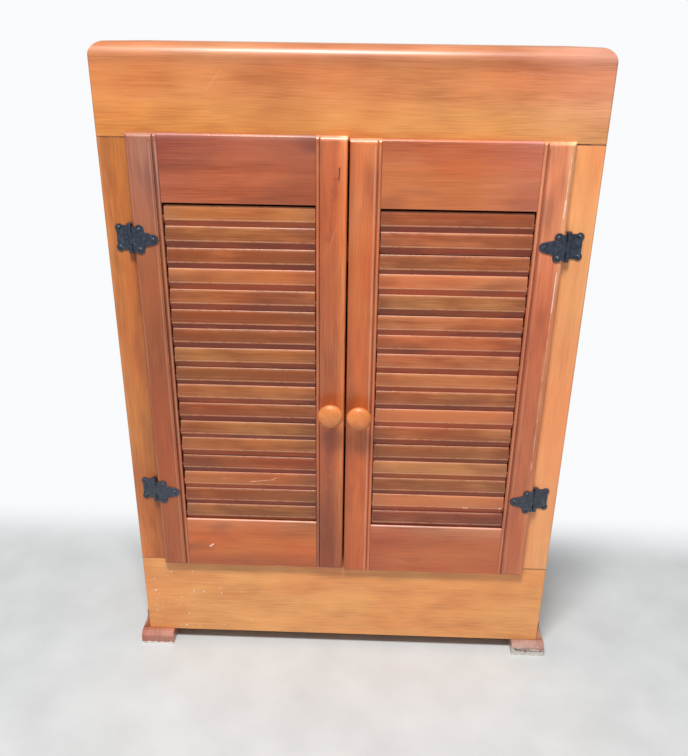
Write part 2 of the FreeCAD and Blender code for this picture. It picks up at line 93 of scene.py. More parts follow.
# How far along a line a point lies, from 0 to amount, and its offset from the start of the line.
def lineShare(tree, coords, start, end, amount=1.0):
    a, b = Vector(start) * mm, Vector(end) * mm
    along = b - a
    offset = addNode(tree, "ShaderNodeVectorMath", {"operation": "SUBTRACT", 1: a}, {0: coords}).outputs[0]
    dot = addNode(tree, "ShaderNodeVectorMath", {"operation": "DOT_PRODUCT", 1: along / along.length_squared},
                  {0: offset}).outputs["Value"]
    share = addNode(tree, "ShaderNodeMapRange", {"To Max": amount}, {"Value": dot}).outputs[0]
    return share, offset, along


lineSettings = {
    "thin": 0.36,  # noise where the line is at its thinnest
    "full": 0.62,
    "softness": 0.25,  # of its edge, in mm
    "coverSoftness": 0.5,  # added where cover is 1
}


# A line mark, as a socket from 0 to amount: wear, dirt, painted highlights and painted shadows. Width is
# half its width and ragged the size of its ragged edge, both in mm, and cover is the least share of the
# width.
def lineMask(tree, coords, start, end, width, ragged, cover=0.0, amount=1.0):
    s = lineSettings
    share, offset, along = lineShare(tree, coords, start, end)
    foot = addNode(tree, "ShaderNodeVectorMath", {"operation": "SCALE", 0: along}, {"Scale": share})
    gap = addNode(tree, "ShaderNodeVectorMath", {"operation": "DISTANCE"}, {0: offset, 1: foot.outputs[0]})
    edge = addNode(tree, "ShaderNodeTexNoise", {"Scale": 1 / (ragged * mm), "Detail": 2.0},
                   {"Vector": coords}).outputs[0]
    reach = addNode(tree, "ShaderNodeMapRange", {"From Min": s["thin"], "From Max": s["full"],
                    "To Min": width * cover * mm, "To Max": width * mm}, {"Value": edge}).outputs[0]
    inside = addNode(tree, "ShaderNodeMath", {"operation": "SUBTRACT"},
                     {0: reach, 1: gap.outputs["Value"]}).outputs[0]
    soft = (s["coverSoftness"] * cover + s["softness"]) * mm
    return addNode(tree, "ShaderNodeMapRange", {"From Min": -soft, "From Max": soft, "To Max": amount},
                   {"Value": inside}).outputs[0]


# Pine, planed and sanded, with a wiping stain that took unevenly and a satin varnish on top.
# The eye gets fine straight fibres, soft growth bands, cloudy patches of deeper stain, polish
# rubbed thin on the arrises, and dirt with painted shade darkening the corners and recesses.
pineLook = {
    "stain": "#C87C46",
    "grain": "X",
    "cutSpread": 5.0,  # each board is cut from another place, this many metres either way
    "sway": 7 * mm,  # how far the grain wanders from straight
    "swayLength": 1000 / 6 * mm,
    "fibreWidth": 1.3 * mm,  # real fibres are about 0.2 mm and would not show
    "fibreLength": 46 * mm,
    "fibre": 0.9,
    "bandWidth": 15 * mm,
    "bandLength": 420 * mm,
    "band": 0.7,
    "cloudSize": 70 * mm,
    "cloudStretch": 2.6,
    "cloud": 1.2,
    "deep": (0.66, 0.55, 0.50),  # what the darkest grain does to the stain, for red, green and blue
    "pale": (1.22, 1.32, 1.40),
    "red": (1.02, 0.80, 0.74),  # patches where the stain turns red
    "redSize": (160 * mm, 70 * mm),  # along and across the grain
    "redNoise": {"From Min": 0.42, "From Max": 0.62},
    "redCloud": 0.85,
    "smudge": 0.45,  # strength of the few soft dark patches
    "smudgeSize": (110 * mm, 35 * mm),
    "smudgeNoise": {"From Min": 0.56, "From Max": 0.74},
    "smudgeColour": "#6A3524",
    "dirtAndShade": 0.38,
    "dirtAndShadeColour": "#5A2812",
    "dirtAndShadeReach": 5 * mm,
    "dirtAndShadeOpening": {"From Min": 0.72, "From Max": 0.25},  # none where open, full in the corners and recesses: dirt and painted shade
    "wear": 0.5,
    "wearColour": "#DC9E76",
    "wearReach": 1.3 * mm,
    "wearTurn": {"From Min": 0.985, "From Max": 0.86},  # cosine between the face and its rounded arris
    "wearOpening": {"From Min": 0.55, "From Max": 0.85},  # only arrises that stand free are rubbed
    "wearPatch": 9 * mm,
    "wearNoise": {"From Min": 0.2, "From Max": 0.5},
    "roughLow": 0.34,
    "roughHigh": 0.48,
    "roughBand": {"From Min": 0.35, "From Max": 0.65},
    "bump": 0.10,
    "bumpDepth": 0.3 * mm,
    "coat": 0.30,
    "coatRoughness": 0.20,
    "fades": (),
    "marks": (),
    "perSlat": False,
}
slatValues = ("slatTone", "slatHue", "slatEdge", "slatUnder")  # what the slats' points tell their material


def stainedPine(name, seed, **changes):
    look = {**pineLook, **changes}
    material, tree = newMaterial(name)
    coords = addNode(tree, "ShaderNodeTexCoord").outputs["Object"]
    slat = {}
    if look["perSlat"]:
        slat = {key: addNode(tree, "ShaderNodeAttribute", {"attribute_name": key}).outputs["Fac"]
                for key in slatValues}
    dice = random.Random(seed)
    cut = [dice.uniform(-look["cutSpread"], look["cutSpread"]) for _ in range(3)]
    board = addNode(tree, "ShaderNodeVectorMath", {"operation": "ADD", 1: cut}, {0: coords}).outputs[0]
    if slat:
        shift = addNode(tree, "ShaderNodeAttribute", {"attribute_name": "slatShift"}).outputs["Vector"]
        board = addNode(tree, "ShaderNodeVectorMath", {"operation": "ADD"}, {0: board, 1: shift}).outputs[0]
    sway = addNode(tree, "ShaderNodeTexNoise", {"Scale": 1 / look["swayLength"], "Detail": 1.0},
                   {"Vector": board}).outputs["Color"]
    wander = addNode(tree, "ShaderNodeVectorMath", {"operation": "MULTIPLY_ADD", 1: [look["sway"]] * 3},
                     {0: sway, 2: board}).outputs[0]

    def alongGrain(length, width, detail=2.0, distortion=0.0):
        scale = [1 / width] * 3
        scale["XYZ".index(look["grain"])] = 1 / length
        place = addNode(tree, "ShaderNodeMapping", {"Scale": scale}, {"Vector": wander}).outputs[0]
        return addNode(tree, "ShaderNodeTexNoise", {"Scale": 1.0, "Detail": detail, "Distortion": distortion},
                       {"Vector": place}).outputs[0]

    fibre = alongGrain(look["fibreLength"], look["fibreWidth"], 3.0)
    band = alongGrain(look["bandLength"], look["bandWidth"], 3.0, 0.3)
    cloud = alongGrain(look["cloudSize"] * look["cloudStretch"], look["cloudSize"])
    value = None
    for pattern, amount in ((fibre, look["fibre"]), (band, look["band"]), (cloud, look["cloud"])):
        centred = addNode(tree, "ShaderNodeMath", {"operation": "SUBTRACT", 1: 0.5}, {0: pattern}).outputs[0]
        part = addNode(tree, "ShaderNodeMath", {"operation": "MULTIPLY_ADD", 1: amount, 2: 0.5}, {0: centred})
        if value:
            tree.links.new(value, part.inputs[2])
        value = part.outputs[0]
    if slat:
        value = addNode(tree, "ShaderNodeMath", {"operation": "ADD"},
                        {0: value, 1: slat["slatTone"]}).outputs[0]
    stops = [(0.1, tinted(look["stain"], look["deep"])), (0.5, hexToLinear(look["stain"])),
             (0.9, tinted(look["stain"], look["pale"]))]
    colour = addNode(tree, "ShaderNodeValToRGB", {"stops": stops}, {0: value}).outputs[0]

    # What lies over the stain, from the first to the last: where, how it mixes and its colour.
    layers = []
    if slat:
        hue = addNode(tree, "ShaderNodeMix", {"data_type": "RGBA", 6: (*look["reddest"], 1.0),
                      7: (*look["yellowest"], 1.0)}, {0: slat["slatHue"]}).outputs[2]
        colour = addNode(tree, "ShaderNodeMix", {"data_type": "RGBA", "blend_type": "MULTIPLY", 0: 1.0},
                         {6: colour, 7: hue}).outputs[2]
        # Painted shade: the undercuts, and the tenons in the end gaps, are darkened and reddened.
        layers.append((slat["slatUnder"], "MULTIPLY", (*look["under"], 1.0)))
    red = addNode(tree, "ShaderNodeMapRange", {**look["redNoise"], "To Max": look["redCloud"]},
                  {"Value": alongGrain(*look["redSize"])}).outputs[0]
    layers.append((red, "MULTIPLY", (*look["red"], 1.0)))
    smudge = addNode(tree, "ShaderNodeMapRange", {**look["smudgeNoise"], "To Max": look["smudge"]},
                     {"Value": alongGrain(*look["smudgeSize"])}).outputs[0]
    layers.append((smudge, "MIX", hexToLinear(look["smudgeColour"])))
    for start, end, code, amount in look["fades"]:
        change = [new / old for new, old in zip(hexToLinear(code), hexToLinear(look["stain"]))]
        layers.append((lineShare(tree, coords, start, end, amount)[0], "MULTIPLY", change))

    # Dirt and painted shade: darker in corners and recesses, where ambient occlusion finds the light shut
    # out.
    opening = addNode(tree, "ShaderNodeAmbientOcclusion",
                      {"samples": 4, "Distance": look["dirtAndShadeReach"]}).outputs["AO"]
    dirtAndShade = addNode(tree, "ShaderNodeMapRange", {**look["dirtAndShadeOpening"], "To Max": look["dirtAndShade"]},
                   {"Value": opening}).outputs[0]
    layers.append((dirtAndShade, "MIX", hexToLinear(look["dirtAndShadeColour"])))
    rounded = addNode(tree, "ShaderNodeBevel", {"samples": 4, "Radius": look["wearReach"]}).outputs[0]
    flat = addNode(tree, "ShaderNodeNewGeometry").outputs["Normal"]
    turn = addNode(tree, "ShaderNodeVectorMath", {"operation": "DOT_PRODUCT"}, {0: rounded, 1: flat})
    worn = addNode(tree, "ShaderNodeMapRange", look["wearTurn"], {"Value": turn.outputs["Value"]}).outputs[0]
    # On slats the pale arris value also paints a highlight over the crown.
    if slat:
        worn = addNode(tree, "ShaderNodeMath", {"operation": "MAXIMUM"},
                       {0: worn, 1: slat["slatEdge"]}).outputs[0]
    patch = addNode(tree, "ShaderNodeTexNoise", {"Scale": 1 / look["wearPatch"], "Detail": 3.0},
                    {"Vector": board}).outputs[0]
    limits = ((opening, look["wearOpening"]), (patch, {**look["wearNoise"], "To Max": look["wear"]}))
    for pattern, span in limits:
        part = addNode(tree, "ShaderNodeMapRange", span, {"Value": pattern}).outputs[0]
        worn = addNode(tree, "ShaderNodeMath", {"operation": "MULTIPLY"}, {0: worn, 1: part}).outputs[0]
    layers.append((worn, "MIX", hexToLinear(look["wearColour"])))
    for start, end, width, code, *more in look["marks"]:
        layers.append((lineMask(tree, coords, start, end, width, *more), "MIX", hexToLinear(code)))
    for share, blend, tint in layers:
        colour = addNode(tree, "ShaderNodeMix", {"data_type": "RGBA", "blend_type": blend, 7: tint},
                         {0: share, 6: colour}).outputs[2]

    rough = addNode(tree, "ShaderNodeMapRange", {**look["roughBand"], "To Min": look["roughLow"],
                    "To Max": look["roughHigh"]}, {"Value": band}).outputs[0]
    relief = addNode(tree, "ShaderNodeBump", {"Strength": look["bump"], "Distance": look["bumpDepth"]},
                     {"Height": fibre}).outputs[0]
    shader = addNode(tree, "ShaderNodeBsdfPrincipled",
                     {"IOR": 1.5, "Coat Weight": look["coat"], "Coat Roughness": look["coatRoughness"]},
                     {"Base Color": colour, "Roughness": rough, "Normal": relief})
    finishMaterial(tree, shader)
    return material


# A noise of a real size, and the colours that it runs through.
def flecks(tree, size, detail, stops):
    coords = addNode(tree, "ShaderNodeTexCoord").outputs["Object"]
    noise = addNode(tree, "ShaderNodeTexNoise", {"Scale": 1 / size, "Detail": detail},
                    {"Vector": coords}).outputs[0]
    return noise, addNode(tree, "ShaderNodeValToRGB", {"stops": stops}, {0: noise}).outputs[0]


# Iron sheet, pressed, with a blue-black lacquer baked over hammer marks: shallow dimples that
# break up a soft cold highlight.
ironLook = {
    "dimple": 3.0 * mm,
    "dimpleDepth": 0.5 * mm,
    "dust": 4.5 * mm,
    "stops": [(0.35, "#1C222E"), (0.55, "#2B3444"), (0.8, "#465468")],
    "roughLow": 0.30,
    "roughHigh": 0.46,
    "roughDust": {"From Min": 0.3, "From Max": 0.7},
    "bump": 0.35,
    "coat": 0.4,
    "coatRoughness": 0.18,
}


def hammeredIron(name, s):
    material, tree = newMaterial(name)
    stops = [(place, hexToLinear(code)) for place, code in s["stops"]]
    dust, colour = flecks(tree, s["dust"], 4.0, stops)
    coords = addNode(tree, "ShaderNodeTexCoord").outputs["Object"]
    dents = addNode(tree, "ShaderNodeTexVoronoi", {"feature": "SMOOTH_F1", "Scale": 1 / s["dimple"],
                    "Smoothness": 0.7}, {"Vector": coords}).outputs["Distance"]
    rough = addNode(tree, "ShaderNodeMapRange", {**s["roughDust"], "To Min": s["roughLow"],
                    "To Max": s["roughHigh"]}, {"Value": dust}).outputs[0]
    relief = addNode(tree, "ShaderNodeBump", {"Strength": s["bump"], "Distance": s["dimpleDepth"]},
                     {"Height": dents}).outputs[0]
    shader = addNode(tree, "ShaderNodeBsdfPrincipled",
                     {"IOR": 1.5, "Coat Weight": s["coat"], "Coat Roughness": s["coatRoughness"]},
                     {"Base Color": colour, "Roughness": rough, "Normal": relief})
    finishMaterial(tree, shader)
    return material


# Steel, zinc plated and passivated: a dull blue-grey sheen with fine streaks.
zincLook = {"streak": 1.4 * mm, "dull": "#8E9499", "bright": "#B9BEC2", "roughLow": 0.3, "roughHigh": 0.5}


def zincPlatedSteel(name, s):
    material, tree = newMaterial(name)
    stops = [(0.3, hexToLinear(s["dull"])), (0.7, hexToLinear(s["bright"]))]
    streaks, colour = flecks(tree, s["streak"], 3.0, stops)
    rough = addNode(tree, "ShaderNodeMapRange", {"To Min": s["roughLow"], "To Max": s["roughHigh"]},
                    {"Value": streaks}).outputs[0]
    shader = addNode(tree, "ShaderNodeBsdfPrincipled", {"Metallic": 1.0},
                     {"Base Color": colour, "Roughness": rough})
    finishMaterial(tree, shader)
    return material


# ABS, moulded, brown: an even matt grain.
absLook = {"grain": 0.6 * mm, "grainDepth": 0.1 * mm, "deep": "#4A3022", "pale": "#5A3C2B", "bump": 0.15}


def mouldedAbs(name, s):
    material, tree = newMaterial(name)
    stops = [(0.3, hexToLinear(s["deep"])), (0.7, hexToLinear(s["pale"]))]
    grain, colour = flecks(tree, s["grain"], 2.0, stops)
    relief = addNode(tree, "ShaderNodeBump", {"Strength": s["bump"], "Distance": s["grainDepth"]},
                     {"Height": grain}).outputs[0]
    shader = addNode(tree, "ShaderNodeBsdfPrincipled", {"Roughness": 0.5, "IOR": 1.54},
                     {"Base Color": colour, "Normal": relief})
    finishMaterial(tree, shader)
    return material


def setMaterial(piece, material):
    if not piece.data.materials:
        piece.data.materials.append(material)
    for slot in piece.material_slots:
        slot.material = material


arrisSettings = {
    "weld": 0.005 * mm,
    "flat": 0.5,  # degrees; facets that turn less than this become one face
    "sharp": 35.0,  # degrees; edges that turn more than this are rounded
    "board": 0.6 * mm,
    "meetingStile": 0.3 * mm,
    "cover": 0.3 * mm,
    "hinge": 0.4 * mm,
    "screw": 0.2 * mm,
    "catch": 0.8 * mm,
}


# Takes the sharpness off a piece's arrises, as sanding and varnish do.
def softenEdges(piece, width, segments=2):
    piece.modifiers.new("weld", "WELD").merge_threshold = arrisSettings["weld"]
    flat = piece.modifiers.new("flat", "DECIMATE")
    flat.decimate_type = "DISSOLVE"
    flat.angle_limit = math.radians(arrisSettings["flat"])
    bevel = piece.modifiers.new("bevel", "BEVEL")
    bevel.width = width
    bevel.segments = segments
    bevel.limit_method = "ANGLE"
    bevel.angle_limit = math.radians(arrisSettings["sharp"])
    piece.modifiers.new("normals", "WEIGHTED_NORMAL").keep_sharp = False


# Marks are drawn on these faces. A mark has the start and end of its line, half its width, its
# colour and the size of its ragged edge, then, where they aren't 0 and 1, the least share of the
# width that it covers and its strength. All lengths are in mm.
doorFace, railFace, slatPlane, frameFace, toeFace = -92.9, -91.2, -89.9, -83.1, -95.6
rawWood, thinVarnish, darkStain, chalk = "#F2D9C8", "#E2A88C", "#4A2015", "#F0E4DC"
# Pale colour of the painted highlights along the stiles' arrises.
arrisHighlight = "#D69A80"
wornEdge = [
    ((263.4, doorFace, 756), (262.6, doorFace, 700), 0.6, rawWood, 8, 0.2, 0.7),
    ((262.6, doorFace, 704), (262.2, doorFace, 684), 1.0, rawWood, 8, 0.35, 0.85),
    ((262.2, doorFace, 616), (261.6, doorFace, 560), 0.8, rawWood, 9, 0.35, 0.8),
    ((261.4, doorFace, 560), (261.0, doorFace, 330), 0.6, thinVarnish, 14),
]
chippedRail = [
    ((-197.6, railFace, 185.6), (-193.4, railFace, 189.0), 1.3, rawWood, 3, 0.6),
    ((-100.0, railFace, 153.0), (-88.0, railFace, 152.6), 0.5, thinVarnish, 3, 0.3),
]
scratchedStile = [
    ((-10.8, doorFace, 738), (-11.8, doorFace, 725), 1.3, darkStain, 4, 0.3, 0.75),
    ((-22.5, doorFace, 640), (-14.0, doorFace, 668), 0.25, thinVarnish, 5),
    ((-15, doorFace, 724), (-23, doorFace, 652), 5.0, "#8A4A34", 10, 0.0, 0.35),
    ((-24, doorFace, 380), (-20, doorFace, 240), 6.0, "#7A4634", 12, 0.0, 0.3),
]
scuffedTop = [
    ((-170, frameFace, 822), (-150, frameFace, 846), 0.25, thinVarnish, 6),
    ((180, frameFace - 0.4, 848), (232, frameFace - 0.3, 846), 0.35, thinVarnish, 7),
]
# A painted shadow down the left face stile, under the hinge beside the door's edge.
hingeShadow = [((-270, frameFace, 632), (-271, frameFace, 548), 2.6, "#8A4A22", 30, 0.3, 0.45)]
chippedToes = [((-314, toeFace, 2.0), (-268, toeFace, 1.4), 3.2, chalk, 8, 0.15),
               ((314, toeFace, 2.0), (268, toeFace, 1.4), 3.2, chalk, 8, 0.15)]
greyToe = [((266, toeFace, 7), (315, toeFace, 5), 8.0, "#CFC8C2", 7, 0.3, 0.85),
           ((271, toeFace, 11), (287, toeFace, 8.5), 2.6, "#56524E", 5, 0.1, 0.85),
           ((291, toeFace, 8.5), (312, toeFace, 8), 1.6, "#6A645E", 4, 0.0, 0.8)]


# A painted line up the whole height of a door's stile: a highlight on a bead's arris, or shade in the groove
# beside a bead.
def stileLine(x, width, colour, amount):
    foot, head = 150, 764
    return ((x, doorFace, foot), (x, doorFace, head), width, colour, 40, 0.6, amount)


# A painted highlight along the round upper edge of a door's bottom rail; d is -1 on the left and 1 on the
# right.
def sillHighlight(d, z):
    return ((d * 229, railFace + 0.6, z), (d * 40, railFace + 0.6, z), 1.2, "#E4B8A8", 30, 0.6, 0.6)


# Dirt in the joint of a face stile with the rail above or below it.
def jointLine(d, z, amount):
    return ((d * 264, frameFace, z), (d * 306, frameFace, z), 1.0, darkStain, 20, 0.6, amount)


upperJoints = [jointLine(-1, 769, 0.7), jointLine(1, 769, 1.0)]
lowerJoints = [jointLine(-1, 155, 0.5), jointLine(1, 155, 0.8)]
speckSettings = {
    "count": 34,
    "start": -292,  # mm
    "reach": 175,
    "crowding": 1.4,  # above 1 they crowd towards the start
    "heights": (24, 136),
    "sizes": (0.6, 1.3),
    "strengths": (0.25, 1.0),
    "seed": 12,
}


# Specks of paint on the base rail, thick at one end.
def paintSpecks(s):
    dice = random.Random(s["seed"])
    specks = []
    for n in range(s["count"]):
        x = s["start"] + s["reach"] * dice.random() ** s["crowding"]
        z = dice.uniform(*s["heights"])
        size, amount = dice.uniform(*s["sizes"]), dice.uniform(*s["strengths"])
        specks.append(((x, frameFace, z), (x + size, frameFace, z + size), size, chalk, 3, 0.3, amount))
    return specks


# A fade turns the stain towards another colour, across the cabinet or upward: start and end of the
# change (mm), colour at the end, and strength there. Some fades are changes of stain; others are
# painted light, shade or reflection, as noted where they are used.
def across(start, end, code, amount):
    return ((start, 0, 0), (end, 0, 0), code, amount)


def upward(start, end, code, amount):
    return ((0, 0, start), (0, 0, end), code, amount)


# Up the top rail: golden at its foot, redder over the middle, darker and duller on the round edge, painted
# shade against the lamp's light there.
# Along it: redder over its left half, golden again at that end, paler and pinker at the other.
topFades = [upward(818, 776, "#DE9A44", 0.4), upward(806, 836, "#C67446", 0.45),
            across(60, -70, "#C4763E", 0.4), across(-120, -240, "#E29C58", 0.4),
            across(170, 300, "#DEA07C", 0.7), upward(846, 862, "#B07C58", 0.7)]
# Painted highlight along the round upper edge of a door.
doorTopHighlight = upward(768, 774, "#D89A70", 0.5)
# The two wide boards of the front have a finer and calmer grain than the others.
calmGrain = {"cloudStretch": 2.2, "fibre": 0.8, "fibreWidth": 0.9 * mm, "redCloud": 0.6, "smudge": 0.1}
boards = {
    "top_fascia": {
        **calmGrain,
        "stain": "#D18A53",
        "band": 0.35,
        "cloud": 1.0,
        "cloudSize": 44 * mm,
        "coatRoughness": 0.26,
        "fades": topFades,
        "marks": scuffedTop + upperJoints,
    },
    "top_board": {"stain": "#CF8850", "smudge": 0.12, "cloud": 0.9},
    "base_rail": {
        **calmGrain,
        "stain": "#E89F5B",
        "band": 0.3,
        "cloud": 0.85,
        "cloudSize": 40 * mm,
        "marks": paintSpecks(speckSettings) + lowerJoints,
    },
    "face_stile_left": {
        "stain": "#C27334",
        "grain": "Z",
        # Darker towards the door and paler at the outer edge: painted shade and painted light.
        "fades": [across(-286, -266, "#A05C24", 0.6), across(-290, -304, "#D88C50", 0.7)],
        "marks": [upperJoints[0], lowerJoints[0]] + hingeShadow,
    },
    "face_stile_right": {
        "stain": "#EEA368",
        "grain": "Z",
        "fibre": 0.45,
        "band": 0.4,
        "cloud": 0.8,
        "smudge": 0.1,
        "dirtAndShade": 0.2,
        # Paler towards the door: painted light where the door's shade falls.
        "fades": [across(290, 270, "#FFB470", 0.35)],
        "marks": [upperJoints[1], lowerJoints[1]],
    },
    "side_panel_left": {"stain": "#C47C46", "grain": "Z", "smudge": 0.2},
    "side_panel_right": {"stain": "#C47C46", "grain": "Z", "smudge": 0.2},
    "cove_moulding_left": {"stain": "#B06A40", "grain": "Y"},
    # Paler than the left cove: a painted reflection of light on its varnish.
    "cove_moulding_right": {"stain": "#D09678", "grain": "Y"},
    "cabinet_floor": {"stain": "#B4713F"},
    "shelf_1": {"stain": "#B8743F"},
    "shelf_2": {"stain": "#BA7641"},
    "left_door_hinge_stile": {
        "stain": "#A6582D",
        "grain": "Z",
        # Greyish pink up its top: a painted reflection. The pale lines on the bead's arrises and the outer
        # edge are painted highlights.
        "fades": [upward(380, 470, "#8E4A28", 0.45), upward(610, 752, "#B07E6A", 0.65)],
        "marks": [stileLine(-239.2, 1.1, arrisHighlight, 0.3), stileLine(-231.4, 1.3, arrisHighlight, 0.4),
                  stileLine(-266, 1.6, arrisHighlight, 0.35)],
    },
    "left_door_meeting_stile": {
        "stain": "#B05E34",
        "grain": "Z",
        "dirtAndShade": 0.1,
        # Paler at its top and near its right edge: painted sheen. Darker towards the gap: painted shade. Pale
        # on its side in the gap: painted light. A painted highlight along its top and on the bead's arris.
        "fades": [upward(710, 756, "#C87850", 0.5), across(-16, -5, "#E2884E", 0.75), doorTopHighlight,
                  upward(370, 205, "#8A4020", 0.9), across(-3.4, -1.8, "#9A4418", 0.75),
                  across(-1.27, -1.2, "#EC9C58", 0.9)],
        "marks": scratchedStile + [stileLine(-37, 1.2, arrisHighlight, 0.3)],
    },
    "left_door_top_rail": {
        "stain": "#B65C35",
        # Purplish and darker up its top and towards its upper left: a painted reflection; a painted highlight
        # along its top.
        "fades": [upward(722, 762, "#85483C", 0.45), ((-130, 0, 750), (-228, 0, 770), "#85483F", 0.45),
                  ((-140, 0, 742), (-60, 0, 700), "#904A30", 0.6),
                  ((-150, 0, 740), (-215, 0, 705), "#C4683C", 0.5), doorTopHighlight],
    },
    "left_door_bottom_rail": {
        "stain": "#C1682F",
        "fades": [upward(184, 156, "#9A5030", 0.45), upward(208, 230, "#D08A60", 0.4)],
        "marks": chippedRail + [sillHighlight(-1, 232.2)],
    },
    "right_door_hinge_stile": {
        "stain": "#C26A43",
        "grain": "Z",
        # Paler up its top and towards its outer edge: painted sheen and painted light; a painted highlight
        # along its top.
        "fades": [upward(560, 650, "#E8956A", 0.75), across(256, 268, "#E09A66", 0.6), doorTopHighlight],
        # Dark lines in the grooves beside the bead are painted shade and the pale lines on its arrises
        # painted highlights; wornEdge is real wear.
        "marks": [stileLine(236.6, 1.0, "#7A3820", 0.5), stileLine(229.8, 1.3, "#64301C", 0.6),
                  stileLine(233.0, 1.2, arrisHighlight, 0.5), stileLine(240, 1.0, arrisHighlight, 0.2)] + wornEdge,
    },
    "right_door_meeting_stile": {
        "stain": "#C26834",
        "grain": "Z",
        "dirtAndShade": 0.1,
        # Paler up its top: painted sheen. Darker towards the gap: painted shade. Pale on its side in the gap:
        # painted light. A painted highlight along its top and on the bead's arrises.
        "fades": [upward(630, 700, "#D68250", 0.55), across(13, 3, "#9E5630", 0.55), doorTopHighlight,
                  across(1.27, 1.2, "#EC9C58", 0.9)],
        "marks": [stileLine(31.6, 1.1, arrisHighlight, 0.55), stileLine(37.6, 1.2, arrisHighlight, 0.4)],
    },
    "right_door_top_rail": {
        "stain": "#BB683A",
        # Purplish up its top: a painted reflection; a painted highlight along its top.
        "fades": [upward(738, 764, "#B06A50", 0.35), across(150, 228, "#B87664", 0.45), doorTopHighlight],
    },
    "right_door_bottom_rail": {
        "stain": "#B96135",
        "fades": [upward(204, 226, "#CC9070", 0.35), across(90, 44, "#9C5434", 0.35)],
        "marks": [sillHighlight(1, 229.7)],
    },
    "foot_left": {"stain": "#BC8472", "grain": "Y", "marks": chippedToes, "wear": 0.9},
    "foot_right": {"stain": "#BA958A", "grain": "Y", "marks": chippedToes + greyToe, "wear": 0.9},
}
for seed, (node, changes) in enumerate(boards.items()):
    setMaterial(nodes[node], stainedPine("pine_stained_varnished_" + node, seed, **changes))
    softenEdges(nodes[node], arrisSettings["meetingStile" if "meeting" in node else "board"])
print("boards:", len(boards))


# Hardboard, pressed and oiled brown: short felted fibres and no varnish, so it stays dull.
hardboardLook = {
    "stain": "#7A5638",
    "fibreLength": 4 * mm,
    "band": 0.1,
    "cloud": 0.35,
    "redCloud": 0.15,
    "smudge": 0.08,
    "wear": 0.2,
    "coat": 0.0,
    "roughLow": 0.6,
    "roughHigh": 0.75,
}
coverSeed = 99
setMaterial(nodes["rear_cover"], stainedPine("hardboard_pressed_oiled", coverSeed, **hardboardLook))
softenEdges(nodes["rear_cover"], arrisSettings["cover"])
print("rear cover")


def meshObject(name, mesh):
    for face in mesh.faces:
        face.smooth = True
    data = bpy.data.meshes.new(name)
    mesh.to_mesh(data)
    mesh.free()
    piece = bpy.data.objects.new(name, data)
    bpy.context.scene.collection.objects.link(piece)
    return piece


slatSettings = {
    "count": 17,
    "stubReach": 4.0 * mm,  # tenons in the stiles
    "stubWidth": 9.0 * mm,
    "stubThickness": 4.0 * mm,
    "tilt": 20.0,  # degrees, of the tenons
    "endGap": {"hinge": 1.7 * mm, "meeting": 1.2 * mm},
    "top": 19.5 * mm,  # of a slat over its lower arris
    "cadFoot": 8.46 * mm,  # of the lowest slat's lower arris over the foot of the node
    "undercutFoot": (3.3 * mm, -9.1 * mm),  # depth behind the face, height over the lower arris
    # Painted shade at the foot of the undercut, in full.
    "footUnderShade": 1.0,
    "innerFoot": (10.78 * mm, -5.65 * mm),
    "steps": 10,  # along a slat
    "waver": 0.10 * mm,  # of the rubbed arris
    "topRise": 0.9 * mm,  # of the top slat over its regular place
    "lowestRise": {"left": 1.2 * mm, "right": 0.4 * mm},
    "riseLeast": 0.1 * mm,  # of the slats between them
    "riseMost": 1.9 * mm,
    "slideSpread": 0.5 * mm,
    "turnSpread": 0.14,  # degrees, in the plane of the door
    "toneSpread": 0.48,
    "cutSpread": 3.0,  # metres
    "seed": {"left": 5, "right": 6},
    "riseSeed": {"left": 9, "right": 10},
    "toneSeed": {"left": 7, "right": 8},
    "pineSeed": {"left": 64, "right": 65},
    "sharpAngle": 40.0,  # degrees
}
# Section of a slat from the foot of its undercut up over the face to the inner side, as depth
# behind the face, height over the lower arris (mm), how pale it is (varnish rubbed off at the
# lower arris, painted highlight on the crown) and how much painted shade darkens the undercut.
# Pale values over the crown, from 15.9 mm up, are a painted highlight; those at the lower arris are varnish
# rubbed off.
slatFace = [(0.62, -1.2, 0.0, 1.0), (0.3, -0.5, 0.2, 0.8), (0.05, 0.0, 0.9, 0.2), (0.0, 0.6, 1.0, 0.0),
            (0.1, 1.3, 0.6, 0.0), (0.2, 2.2, 0.0, 0.0), (0.24, 5.0, 0.0, 0.0), (0.46, 9.0, 0.0, 0.0),
            (0.78, 12.2, 0.0, 0.0), (1.12, 14.4, 0.0, 0.0), (1.45, 15.9, 0.15, 0.0), (1.8, 17.0, 0.4, 0.0),
            (2.15, 17.8, 0.65, 0.0), (2.5, 18.3, 0.7, 0.0), (2.9, 18.5, 0.4, 0.0)]


